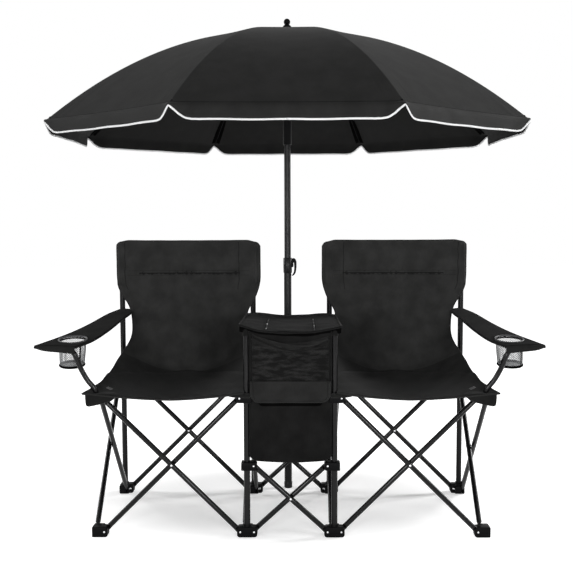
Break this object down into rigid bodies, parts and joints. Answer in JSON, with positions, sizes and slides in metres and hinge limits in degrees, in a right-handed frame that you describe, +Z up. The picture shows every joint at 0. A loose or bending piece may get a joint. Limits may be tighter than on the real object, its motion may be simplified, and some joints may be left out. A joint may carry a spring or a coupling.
{
  "type": "folding camping loveseat",
  "caption": "Folding loveseat for camping: two fabric chairs on scissor frames share a table with a hanging cooler bag, under an umbrella on a telescoping pole.",
  "frame": {"origin": "on the ground, at the centre of the umbrella pole's flat foot", "axes": "+Z up, the sitters look along -Y, +X to the right seen from the front"},
  "size_m": [1.5392, 1.527, 1.6584],
  "materials": {
    "frame_steel": "black powder coat, satin",
    "leg_steel": "black powder coat on the post, moulded black foot",
    "moulded_plastic": "black, fine grain",
    "seat_fabric": "coated woven polyester",
    "arm_fabric": "coated woven polyester",
    "bag_fabric": "coated woven polyester with a mesh pocket",
    "cup_net": "light grey knitted net",
    "canopy_fabric": "taut woven polyester with white piping",
    "umbrella_plastic": "glossy black",
    "rib_steel": "black enamel",
    "pole_steel": "black powder coat, satin",
    "clamp_steel": "black enamel"
  },
  "bodies": {
    "rear_leg_inner_left": {"rear_leg_inner_left": "leg_steel", "seat_sling_left": "seat_fabric"},
    "rear_bar_left_a": {"rear_bar_left_a": "frame_steel"},
    "rear_bar_left_b": {"rear_bar_left_b": "frame_steel"},
    "rear_leg_outer_left": {"rear_leg_outer_left": "leg_steel"},
    "rear_hub_outer_left": {"rear_hub_outer_left": "moulded_plastic"},
    "rear_hub_inner_left": {"rear_hub_inner_left": "moulded_plastic"},
    "inner_side_bar_left_a": {"inner_side_bar_left_a": "frame_steel"},
    "inner_side_bar_left_b": {"inner_side_bar_left_b": "frame_steel"},
    "front_leg_inner_left": {"front_leg_inner_left": "leg_steel"},
    "front_hub_inner_left": {"front_hub_inner_left": "moulded_plastic"},
    "outer_side_bar_left_a": {"outer_side_bar_left_a": "frame_steel"},
    "outer_side_bar_left_b": {"outer_side_bar_left_b": "frame_steel"},
    "front_foot_outer_left": {"front_foot_outer_left": "leg_steel"},
    "arm_support_left": {"arm_support_left": "frame_steel", "armrest_left": "arm_fabric", "cup_holder_left": "cup_net"},
    "front_bar_left_a": {"front_bar_left_a": "frame_steel"},
    "front_bar_left_b": {"front_bar_left_b": "frame_steel"},
    "centre_rear_bar_left": {"centre_rear_bar_left": "frame_steel"},
    "umbrella_lower_pole": {"umbrella_lower_pole": "pole_steel", "cooler_bag": "bag_fabric"},
    "centre_rear_bar_right": {"centre_rear_bar_right": "frame_steel"},
    "rear_leg_inner_right": {"rear_leg_inner_right": "leg_steel", "seat_sling_right": "seat_fabric"},
    "rear_bar_right_a": {"rear_bar_right_a": "frame_steel"},
    "rear_bar_right_b": {"rear_bar_right_b": "frame_steel"},
    "rear_leg_outer_right": {"rear_leg_outer_right": "leg_steel"},
    "rear_hub_outer_right": {"rear_hub_outer_right": "moulded_plastic"},
    "rear_hub_inner_right": {"rear_hub_inner_right": "moulded_plastic"},
    "inner_side_bar_right_a": {"inner_side_bar_right_a": "frame_steel"},
    "inner_side_bar_right_b": {"inner_side_bar_right_b": "frame_steel"},
    "front_leg_inner_right": {"front_leg_inner_right": "leg_steel"},
    "front_hub_inner_right": {"front_hub_inner_right": "moulded_plastic"},
    "outer_side_bar_right_a": {"outer_side_bar_right_a": "frame_steel"},
    "outer_side_bar_right_b": {"outer_side_bar_right_b": "frame_steel"},
    "front_foot_outer_right": {"front_foot_outer_right": "leg_steel"},
    "arm_support_right": {"arm_support_right": "frame_steel", "armrest_right": "arm_fabric", "cup_holder_right": "cup_net"},
    "front_bar_right_a": {"front_bar_right_a": "frame_steel"},
    "front_bar_right_b": {"front_bar_right_b": "frame_steel"},
    "centre_front_bar_a": {"centre_front_bar_a": "frame_steel"},
    "centre_front_bar_b": {"centre_front_bar_b": "frame_steel"},
    "table_slider_right": {"table_slider_right": "moulded_plastic"},
    "table_slider_left": {"table_slider_left": "moulded_plastic"},
    "umbrella_upper_pole": {"umbrella_upper_pole": "pole_steel", "umbrella_crown": "umbrella_plastic", "umbrella_canopy": "canopy_fabric"},
    "umbrella_rib_1": {"umbrella_rib_1": "rib_steel"},
    "umbrella_rib_2": {"umbrella_rib_2": "rib_steel"},
    "umbrella_rib_3": {"umbrella_rib_3": "rib_steel"},
    "umbrella_rib_4": {"umbrella_rib_4": "rib_steel"},
    "umbrella_rib_5": {"umbrella_rib_5": "rib_steel"},
    "umbrella_rib_6": {"umbrella_rib_6": "rib_steel"},
    "umbrella_rib_7": {"umbrella_rib_7": "rib_steel"},
    "umbrella_rib_8": {"umbrella_rib_8": "rib_steel"},
    "umbrella_runner": {"umbrella_runner": "umbrella_plastic"},
    "clamp_screw": {"clamp_screw": "clamp_steel"},
    "table_lid": {"table_lid": "bag_fabric"}
  },
  "joints": [
    {"name": "frame_fold", "type": "hinge", "parent": "rear_leg_inner_left", "child": "rear_bar_left_a", "pos_m": [-0.1413, -0.056, 0.017], "axis": [0, 1, 0], "range_deg": [0, 42.66], "deforming": ["seat_sling_left", "seat_sling_right", "armrest_left", "armrest_right", "cooler_bag", "table_lid"]},
    {"name": "rear_bar_left_crossing", "type": "hinge", "parent": "rear_bar_left_a", "child": "rear_bar_left_b", "pos_m": [-0.3488, -0.056, 0.223], "axis": [0, 1, 0], "range_deg": [-85.33, 0]},
    {"name": "rear_leg_outer_left_pivot", "type": "hinge", "parent": "rear_bar_left_b", "child": "rear_leg_outer_left", "pos_m": [-0.5563, -0.056, 0.017], "axis": [0, 1, 0], "range_deg": [0, 42.67]},
    {"name": "rear_hub_outer_left_pivot", "type": "hinge", "parent": "rear_bar_left_a", "child": "rear_hub_outer_left", "pos_m": [-0.5563, -0.056, 0.429], "axis": [0, 1, 0], "range_deg": [-42.67, 0]},
    {"name": "rear_hub_inner_left_pivot", "type": "hinge", "parent": "rear_bar_left_b", "child": "rear_hub_inner_left", "pos_m": [-0.1413, -0.056, 0.429], "axis": [0, 1, 0], "range_deg": [0, 42.67]},
    {"name": "inner_side_bar_left_a_foot_pivot", "type": "hinge", "parent": "rear_leg_inner_left", "child": "inner_side_bar_left_a", "pos_m": [-0.1203, -0.077, 0.017], "axis": [-1, 0, 0], "range_deg": [0, 42.67]},
    {"name": "inner_side_bar_left_crossing", "type": "hinge", "parent": "inner_side_bar_left_a", "child": "inner_side_bar_left_b", "pos_m": [-0.1203, -0.2845, 0.223], "axis": [-1, 0, 0], "range_deg": [-85.33, 0]},
    {"name": "front_leg_inner_left_pivot", "type": "hinge", "parent": "inner_side_bar_left_b", "child": "front_leg_inner_left", "pos_m": [-0.1203, -0.492, 0.017], "axis": [-1, 0, 0], "range_deg": [0, 42.67]},
    {"name": "front_hub_inner_left_pivot", "type": "hinge", "parent": "inner_side_bar_left_a", "child": "front_hub_inner_left", "pos_m": [-0.1203, -0.492, 0.429], "axis": [-1, 0, 0], "range_deg": [-42.67, 0]},
    {"name": "outer_side_bar_left_a_foot_pivot", "type": "hinge", "parent": "rear_leg_outer_left", "child": "outer_side_bar_left_a", "pos_m": [-0.5773, -0.077, 0.017], "axis": [-1, 0, 0], "range_deg": [0, 42.67]},
    {"name": "outer_side_bar_left_crossing", "type": "hinge", "parent": "outer_side_bar_left_a", "child": "outer_side_bar_left_b", "pos_m": [-0.5773, -0.2845, 0.223], "axis": [-1, 0, 0], "range_deg": [-85.33, 0]},
    {"name": "front_foot_outer_left_pivot", "type": "hinge", "parent": "outer_side_bar_left_b", "child": "front_foot_outer_left", "pos_m": [-0.5773, -0.492, 0.017], "axis": [-1, 0, 0], "range_deg": [0, 42.67]},
    {"name": "arm_support_left_pivot", "type": "hinge", "parent": "outer_side_bar_left_a", "child": "arm_support_left", "pos_m": [-0.5773, -0.492, 0.429], "axis": [-1, 0, 0], "range_deg": [-42.67, 0]},
    {"name": "front_bar_left_a_foot_pivot", "type": "hinge", "parent": "front_leg_inner_left", "child": "front_bar_left_a", "pos_m": [-0.1413, -0.513, 0.017], "axis": [0, 1, 0], "range_deg": [0, 42.67]},
    {"name": "front_bar_left_crossing", "type": "hinge", "parent": "front_bar_left_a", "child": "front_bar_left_b", "pos_m": [-0.3488, -0.513, 0.223], "axis": [0, 1, 0], "range_deg": [-85.33, 0]},
    {"name": "centre_rear_bar_left_foot_pivot", "type": "hinge", "parent": "rear_leg_inner_left", "child": "centre_rear_bar_left", "pos_m": [-0.0993, -0.056, 0.017], "axis": [0, -1, 0], "range_deg": [0, 42.69]},
    {"name": "pole_bracket_left_pivot", "type": "hinge", "parent": "centre_rear_bar_left", "child": "umbrella_lower_pole", "pos_m": [0.0127, -0.056, 0.1193], "axis": [0, -1, 0], "range_deg": [-42.69, 0]},
    {"name": "pole_bracket_right_pivot", "type": "hinge", "parent": "umbrella_lower_pole", "child": "centre_rear_bar_right", "pos_m": [0.0127, -0.056, 0.1193], "axis": [0, 1, 0], "range_deg": [0, 42.69]},
    {"name": "rear_leg_inner_right_pivot", "type": "hinge", "parent": "centre_rear_bar_right", "child": "rear_leg_inner_right", "pos_m": [0.1247, -0.056, 0.017], "axis": [0, 1, 0], "range_deg": [-42.69, 0]},
    {"name": "rear_bar_right_a_foot_pivot", "type": "hinge", "parent": "rear_leg_inner_right", "child": "rear_bar_right_a", "pos_m": [0.1667, -0.056, 0.017], "axis": [0, -1, 0], "range_deg": [0, 42.67]},
    {"name": "rear_bar_right_crossing", "type": "hinge", "parent": "rear_bar_right_a", "child": "rear_bar_right_b", "pos_m": [0.3742, -0.056, 0.223], "axis": [0, -1, 0], "range_deg": [-85.33, 0]},
    {"name": "rear_leg_outer_right_pivot", "type": "hinge", "parent": "rear_bar_right_b", "child": "rear_leg_outer_right", "pos_m": [0.5817, -0.056, 0.017], "axis": [0, -1, 0], "range_deg": [0, 42.67]},
    {"name": "rear_hub_outer_right_pivot", "type": "hinge", "parent": "rear_bar_right_a", "child": "rear_hub_outer_right", "pos_m": [0.5817, -0.056, 0.429], "axis": [0, -1, 0], "range_deg": [-42.67, 0]},
    {"name": "rear_hub_inner_right_pivot", "type": "hinge", "parent": "rear_bar_right_b", "child": "rear_hub_inner_right", "pos_m": [0.1667, -0.056, 0.429], "axis": [0, -1, 0], "range_deg": [0, 42.67]},
    {"name": "inner_side_bar_right_a_foot_pivot", "type": "hinge", "parent": "rear_leg_inner_right", "child": "inner_side_bar_right_a", "pos_m": [0.1457, -0.077, 0.017], "axis": [-1, 0, 0], "range_deg": [0, 42.67]},
    {"name": "inner_side_bar_right_crossing", "type": "hinge", "parent": "inner_side_bar_right_a", "child": "inner_side_bar_right_b", "pos_m": [0.1457, -0.2845, 0.223], "axis": [-1, 0, 0], "range_deg": [-85.33, 0]},
    {"name": "front_leg_inner_right_pivot", "type": "hinge", "parent": "inner_side_bar_right_b", "child": "front_leg_inner_right", "pos_m": [0.1457, -0.492, 0.017], "axis": [-1, 0, 0], "range_deg": [0, 42.67]},
    {"name": "front_hub_inner_right_pivot", "type": "hinge", "parent": "inner_side_bar_right_a", "child": "front_hub_inner_right", "pos_m": [0.1457, -0.492, 0.429], "axis": [-1, 0, 0], "range_deg": [-42.67, 0]},
    {"name": "outer_side_bar_right_a_foot_pivot", "type": "hinge", "parent": "rear_leg_outer_right", "child": "outer_side_bar_right_a", "pos_m": [0.6027, -0.077, 0.017], "axis": [-1, 0, 0], "range_deg": [0, 42.67]},
    {"name": "outer_side_bar_right_crossing", "type": "hinge", "parent": "outer_side_bar_right_a", "child": "outer_side_bar_right_b", "pos_m": [0.6027, -0.2845, 0.223], "axis": [-1, 0, 0], "range_deg": [-85.33, 0]},
    {"name": "front_foot_outer_right_pivot", "type": "hinge", "parent": "outer_side_bar_right_b", "child": "front_foot_outer_right", "pos_m": [0.6027, -0.492, 0.017], "axis": [-1, 0, 0], "range_deg": [0, 42.67]},
    {"name": "arm_support_right_pivot", "type": "hinge", "parent": "outer_side_bar_right_a", "child": "arm_support_right", "pos_m": [0.6027, -0.492, 0.429], "axis": [-1, 0, 0], "range_deg": [-42.67, 0]},
    {"name": "front_bar_right_a_foot_pivot", "type": "hinge", "parent": "front_leg_inner_right", "child": "front_bar_right_a", "pos_m": [0.1667, -0.513, 0.017], "axis": [0, -1, 0], "range_deg": [0, 42.67]},
    {"name": "front_bar_right_crossing", "type": "hinge", "parent": "front_bar_right_a", "child": "front_bar_right_b", "pos_m": [0.3742, -0.513, 0.223], "axis": [0, -1, 0], "range_deg": [-85.33, 0]},
    {"name": "centre_front_bar_a_foot_pivot", "type": "hinge", "parent": "front_leg_inner_left", "child": "centre_front_bar_a", "pos_m": [-0.0993, -0.513, 0.017], "axis": [0, -1, 0], "range_deg": [0, 42.69]},
    {"name": "centre_front_bar_crossing", "type": "hinge", "parent": "centre_front_bar_a", "child": "centre_front_bar_b", "pos_m": [0.0127, -0.513, 0.1193], "axis": [0, -1, 0], "range_deg": [-85.36, 0]},
    {"name": "table_slider_right_pivot", "type": "hinge", "parent": "centre_front_bar_a", "child": "table_slider_right", "pos_m": [0.1247, -0.513, 0.2216], "axis": [0, -1, 0], "range_deg": [-42.69, 0]},
    {"name": "table_slider_left_pivot", "type": "hinge", "parent": "centre_front_bar_b", "child": "table_slider_left", "pos_m": [-0.0993, -0.513, 0.2216], "axis": [0, -1, 0], "range_deg": [0, 42.69]},
    {"name": "umbrella_height", "type": "slide", "parent": "umbrella_lower_pole", "child": "umbrella_upper_pole", "axis": [0, 0, 1], "range_m": [-0.25, 0.15]},
    {"name": "umbrella_close", "type": "hinge", "parent": "umbrella_upper_pole", "child": "umbrella_rib_1", "pos_m": [0.00684, -0.01611, 1.6026], "axis": [0.9205, 0.3907, 0], "range_deg": [0, 63], "deforming": ["umbrella_canopy"]},
    {"name": "umbrella_rib_2_pivot", "type": "hinge", "parent": "umbrella_upper_pole", "child": "umbrella_rib_2", "pos_m": [0.01623, -0.00656, 1.6026], "axis": [0.3746, 0.9272, 0], "range_deg": [0, 63.01]},
    {"name": "umbrella_rib_3_pivot", "type": "hinge", "parent": "umbrella_upper_pole", "child": "umbrella_rib_3", "pos_m": [0.01611, 0.00684, 1.6026], "axis": [-0.3907, 0.9205, 0], "range_deg": [0, 63.01]},
    {"name": "umbrella_rib_4_pivot", "type": "hinge", "parent": "umbrella_upper_pole", "child": "umbrella_rib_4", "pos_m": [0.00656, 0.01623, 1.6026], "axis": [-0.9272, 0.3746, 0], "range_deg": [0, 63.01]},
    {"name": "umbrella_rib_5_pivot", "type": "hinge", "parent": "umbrella_upper_pole", "child": "umbrella_rib_5", "pos_m": [-0.00684, 0.01611, 1.6026], "axis": [-0.9205, -0.3907, 0], "range_deg": [0, 63.01]},
    {"name": "umbrella_rib_6_pivot", "type": "hinge", "parent": "umbrella_upper_pole", "child": "umbrella_rib_6", "pos_m": [-0.01623, 0.00656, 1.6026], "axis": [-0.3746, -0.9272, 0], "range_deg": [0, 63.01]},
    {"name": "umbrella_rib_7_pivot", "type": "hinge", "parent": "umbrella_upper_pole", "child": "umbrella_rib_7", "pos_m": [-0.01611, -0.00684, 1.6026], "axis": [0.3907, -0.9205, 0], "range_deg": [0, 63.01]},
    {"name": "umbrella_rib_8_pivot", "type": "hinge", "parent": "umbrella_upper_pole", "child": "umbrella_rib_8", "pos_m": [-0.00656, -0.01623, 1.6026], "axis": [0.9272, -0.3746, 0], "range_deg": [0, 63.01]},
    {"name": "umbrella_runner_slide", "type": "slide", "parent": "umbrella_upper_pole", "child": "umbrella_runner", "axis": [0, 0, 1], "range_m": [-0.369, 0]},
    {"name": "clamp_screw_turn", "type": "hinge", "parent": "umbrella_lower_pole", "child": "clamp_screw", "pos_m": [0, 0, 0.801], "axis": [1, 0, 0], "continuous": true},
    {"name": "table_lid_hinge", "type": "hinge", "parent": "umbrella_lower_pole", "child": "table_lid", "pos_m": [0.0127, -0.2375, 0.64106], "axis": [-1, 0, 0], "range_deg": [0, 95]}
  ],
  "couplings": [
    {"joint": "rear_bar_left_crossing", "follows": "frame_fold", "ratio": -2},
    {"joint": "rear_leg_outer_left_pivot", "follows": "frame_fold", "ratio": 1},
    {"joint": "rear_hub_outer_left_pivot", "follows": "frame_fold", "ratio": -1},
    {"joint": "rear_hub_inner_left_pivot", "follows": "frame_fold", "ratio": 1},
    {"joint": "inner_side_bar_left_a_foot_pivot", "follows": "frame_fold", "ratio": 1},
    {"joint": "inner_side_bar_left_crossing", "follows": "frame_fold", "ratio": -2},
    {"joint": "front_leg_inner_left_pivot", "follows": "frame_fold", "ratio": 1},
    {"joint": "front_hub_inner_left_pivot", "follows": "frame_fold", "ratio": -1},
    {"joint": "outer_side_bar_left_a_foot_pivot", "follows": "frame_fold", "ratio": 1},
    {"joint": "outer_side_bar_left_crossing", "follows": "frame_fold", "ratio": -2},
    {"joint": "front_foot_outer_left_pivot", "follows": "frame_fold", "ratio": 1},
    {"joint": "arm_support_left_pivot", "follows": "frame_fold", "ratio": -1},
    {"joint": "front_bar_left_a_foot_pivot", "follows": "frame_fold", "ratio": 1},
    {"joint": "front_bar_left_crossing", "follows": "frame_fold", "ratio": -2},
    {"joint": "centre_rear_bar_left_foot_pivot", "follows": "frame_fold", "ratio": 1.0004},
    {"joint": "pole_bracket_left_pivot", "follows": "frame_fold", "ratio": -1.0004},
    {"joint": "pole_bracket_right_pivot", "follows": "frame_fold", "ratio": 1.0004},
    {"joint": "rear_leg_inner_right_pivot", "follows": "frame_fold", "ratio": -1.0004},
    {"joint": "rear_bar_right_a_foot_pivot", "follows": "frame_fold", "ratio": 1},
    {"joint": "rear_bar_right_crossing", "follows": "frame_fold", "ratio": -2},
    {"joint": "rear_leg_outer_right_pivot", "follows": "frame_fold", "ratio": 1},
    {"joint": "rear_hub_outer_right_pivot", "follows": "frame_fold", "ratio": -1},
    {"joint": "rear_hub_inner_right_pivot", "follows": "frame_fold", "ratio": 1},
    {"joint": "inner_side_bar_right_a_foot_pivot", "follows": "frame_fold", "ratio": 1},
    {"joint": "inner_side_bar_right_crossing", "follows": "frame_fold", "ratio": -2},
    {"joint": "front_leg_inner_right_pivot", "follows": "frame_fold", "ratio": 1},
    {"joint": "front_hub_inner_right_pivot", "follows": "frame_fold", "ratio": -1},
    {"joint": "outer_side_bar_right_a_foot_pivot", "follows": "frame_fold", "ratio": 1},
    {"joint": "outer_side_bar_right_crossing", "follows": "frame_fold", "ratio": -2},
    {"joint": "front_foot_outer_right_pivot", "follows": "frame_fold", "ratio": 1},
    {"joint": "arm_support_right_pivot", "follows": "frame_fold", "ratio": -1},
    {"joint": "front_bar_right_a_foot_pivot", "follows": "frame_fold", "ratio": 1},
    {"joint": "front_bar_right_crossing", "follows": "frame_fold", "ratio": -2},
    {"joint": "centre_front_bar_a_foot_pivot", "follows": "frame_fold", "ratio": 1.0004},
    {"joint": "centre_front_bar_crossing", "follows": "frame_fold", "ratio": -2.0007},
    {"joint": "table_slider_right_pivot", "follows": "frame_fold", "ratio": -1.0004},
    {"joint": "table_slider_left_pivot", "follows": "frame_fold", "ratio": 1.0004},
    {"joint": "umbrella_rib_2_pivot", "follows": "umbrella_close", "ratio": 1},
    {"joint": "umbrella_rib_3_pivot", "follows": "umbrella_close", "ratio": 1},
    {"joint": "umbrella_rib_4_pivot", "follows": "umbrella_close", "ratio": 1},
    {"joint": "umbrella_rib_5_pivot", "follows": "umbrella_close", "ratio": 1},
    {"joint": "umbrella_rib_6_pivot", "follows": "umbrella_close", "ratio": 1},
    {"joint": "umbrella_rib_7_pivot", "follows": "umbrella_close", "ratio": 1},
    {"joint": "umbrella_rib_8_pivot", "follows": "umbrella_close", "ratio": 1},
    {"joint": "umbrella_runner_slide", "follows": "umbrella_close", "m_per_rad": -0.33468}
  ]
}
